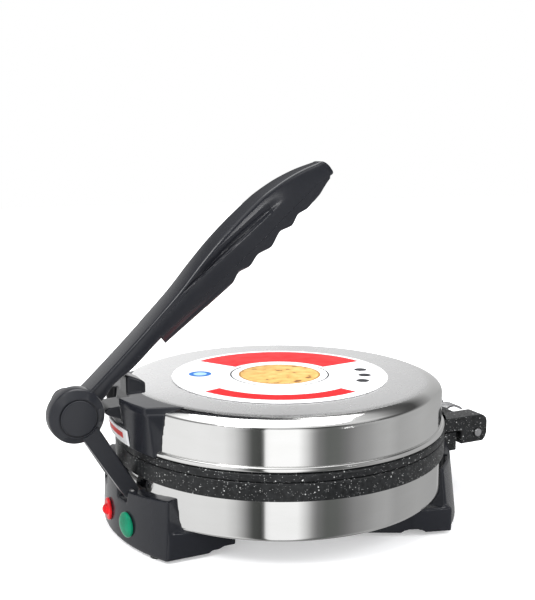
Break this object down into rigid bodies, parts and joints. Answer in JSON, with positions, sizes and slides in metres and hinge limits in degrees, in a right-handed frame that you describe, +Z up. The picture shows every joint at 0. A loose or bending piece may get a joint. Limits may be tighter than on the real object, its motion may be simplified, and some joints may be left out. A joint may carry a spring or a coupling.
{
  "type": "electric roti maker",
  "caption": "Countertop flatbread press: steel drum and hinged steel lid with heated non-stick plates, black stands with signal lamps, and a long lever handle on link arms.",
  "frame": {"origin": "middle of the outline on the table, under the drum and between the handle's knob and the hinge", "axes": "+X to the hinge at the back, -X to the handle, +Z up, +Y to the left seen from the handle"},
  "size_m": [0.346, 0.247, 0.2606],
  "materials": {
    "steel_shell": "drawn stainless sheet with a fine grain",
    "granite_coat": "black non-stick coating with fine pale specks on cast aluminium",
    "black_plastic": "moulded bakelite, half gloss",
    "rubber": "matt",
    "red_lens": "clear red moulding",
    "green_lens": "clear green moulding",
    "label": "printed film",
    "zinc_hardware": "zinc plated steel",
    "element": "dark oxidised tube",
    "ceramic": "matt ceramic and glass",
    "terminal": "moulded block"
  },
  "bodies": {
    "base": {"base_drum": "steel_shell", "lower_plate": "granite_coat", "front_stand": "black_plastic", "rear_stand": "black_plastic", "foot_front_left": "rubber", "foot_front_right": "rubber", "foot_rear_left": "rubber", "foot_rear_right": "rubber", "cord_gland": "rubber", "red_lamp_lens": "red_lens", "green_lamp_lens": "green_lens", "bottom_cover": "zinc_hardware", "lower_retainer": "zinc_hardware", "base_bolt": "zinc_hardware", "retainer_nut": "zinc_hardware", "stand_screw_front_left": "zinc_hardware", "stand_screw_front_right": "zinc_hardware", "stand_screw_rear_left": "zinc_hardware", "stand_screw_rear_right": "zinc_hardware", "hinge_pin": "zinc_hardware", "link_pin": "zinc_hardware", "lower_element": "element", "thermostat": "ceramic", "thermal_fuse": "ceramic", "green_lamp_bulb": "ceramic", "red_lamp_bulb": "ceramic", "terminal_block": "terminal"},
    "lid": {"lid_shell": "steel_shell", "lid_label": "label", "upper_plate": "granite_coat", "upper_element": "element", "upper_retainer": "zinc_hardware", "upper_screw": "zinc_hardware", "lid_bracket": "black_plastic", "bracket_panel": "label", "bracket_screw_left": "zinc_hardware", "bracket_screw_right": "zinc_hardware", "hinge_guard": "zinc_hardware"},
    "link": {"link_arm_near": "black_plastic", "link_arm_far": "black_plastic", "pivot_cap": "black_plastic", "handle_pin": "zinc_hardware"},
    "handle": {"handle_core": "black_plastic", "handle_top": "black_plastic", "handle_grip": "black_plastic", "handle_screw_lower": "zinc_hardware", "handle_screw_upper": "zinc_hardware", "stem_screw": "zinc_hardware"}
  },
  "joints": [
    {"name": "lid_open", "type": "hinge", "parent": "base", "child": "lid", "pos_m": [0.163, 0, 0.0456], "axis": [0, 1, 0], "range_deg": [0, 85]},
    {"name": "link_swing", "type": "hinge", "parent": "base", "child": "link", "pos_m": [-0.1197, 0, 0.0386], "axis": [0, -1, 0], "range_deg": [0, 60]},
    {"name": "handle_tilt", "type": "hinge", "parent": "link", "child": "handle", "pos_m": [-0.154, 0, 0.0956], "axis": [0, -1, 0], "range_deg": [0, 65]}
  ],
  "couplings": [
    {"joint": "link_swing", "follows": "lid_open", "ratio": 0.7},
    {"joint": "handle_tilt", "follows": "lid_open", "ratio": 0.76}
  ]
}
